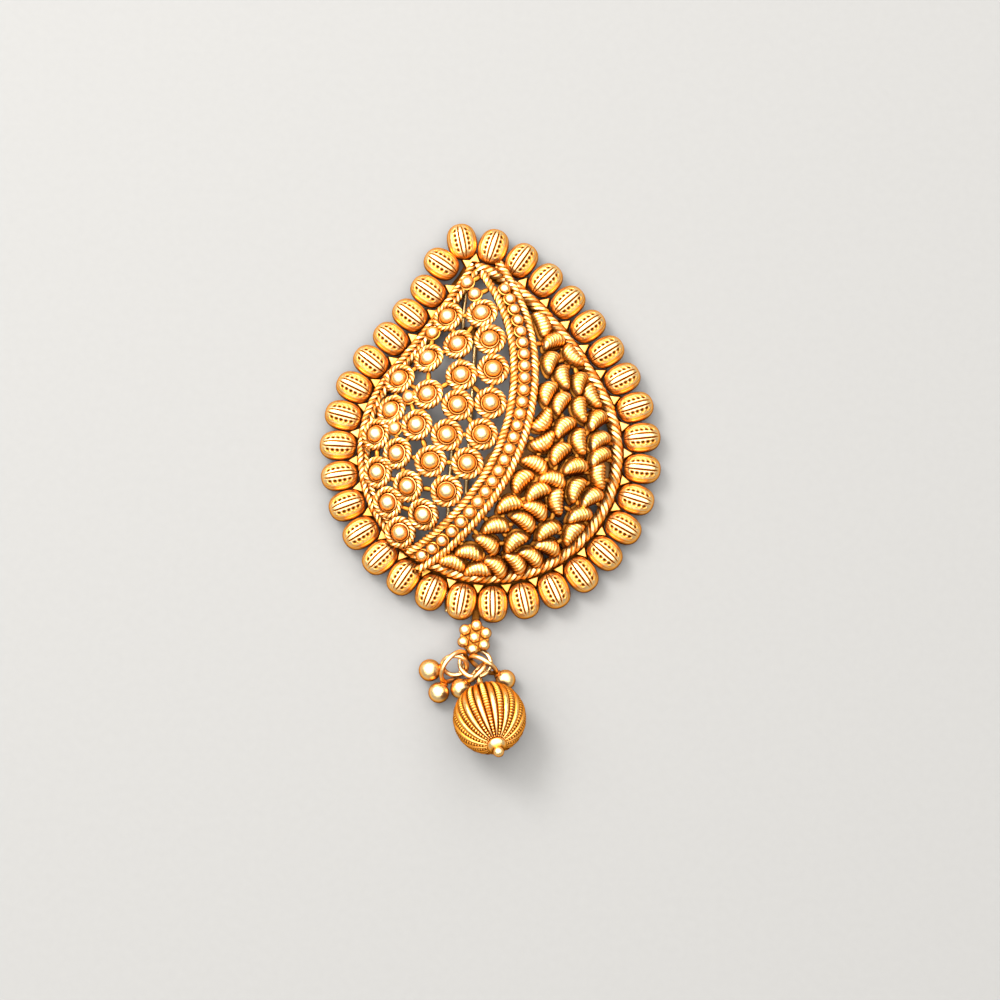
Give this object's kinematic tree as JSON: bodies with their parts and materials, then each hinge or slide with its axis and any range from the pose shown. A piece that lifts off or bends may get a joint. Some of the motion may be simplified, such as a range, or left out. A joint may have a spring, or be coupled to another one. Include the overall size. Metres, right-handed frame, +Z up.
{
  "type": "hair brooch",
  "caption": "Leaf-shaped gold hair brooch with a rim of ribbed beads, two pierced domed fields, a beaded diagonal band and ball drops on jump rings, lying flat.",
  "frame": {"origin": "middle of the bounding box on the surface that the brooch lies on", "axes": "+Y from the drops to the tip of the leaf, +Z up out of the face of the brooch, +X to the right seen from the face"},
  "size_m": [0.048, 0.0766, 0.0102],
  "materials": {
    "gold": "polished gold with brown in the recesses",
    "old_gold": "antique gold, darker in the grooves",
    "brown_gold": "dull brown gold"
  },
  "bodies": {
    "root": {"rim_bead_01": "gold", "rim_bead_02": "gold", "rim_bead_03": "gold", "rim_bead_04": "gold", "rim_bead_05": "gold", "rim_bead_06": "gold", "rim_bead_07": "gold", "rim_bead_08": "gold", "rim_bead_09": "gold", "rim_bead_10": "gold", "rim_bead_11": "gold", "rim_bead_12": "gold", "rim_bead_13": "gold", "rim_bead_14": "gold", "rim_bead_15": "gold", "rim_bead_16": "gold", "rim_bead_17": "gold", "rim_bead_18": "gold", "rim_bead_19": "gold", "rim_bead_20": "gold", "rim_bead_21": "gold", "rim_bead_22": "gold", "rim_bead_23": "gold", "rim_bead_24": "gold", "rim_bead_25": "gold", "rim_bead_26": "gold", "rim_bead_27": "gold", "rim_bead_28": "gold", "rim_bead_29": "gold", "rim_bead_30": "gold", "rim_bead_31": "gold", "rim_bead_32": "gold", "rim_bead_33": "gold", "frame": "gold", "border_rope": "gold", "flower_field": "gold", "bean_field": "gold", "band_rope_inner": "gold", "band_rope_outer": "gold", "band_beads": "gold", "drop_bail": "gold", "main_ring": "gold", "ball_drop_1": "gold", "ball_drop_2": "gold", "ball_drop_3": "gold", "ball_drop_4": "gold", "melon_ball": "old_gold", "melon_finial": "old_gold", "hair_pin": "brown_gold", "back_plate": "brown_gold"}
  },
  "joints": []
}
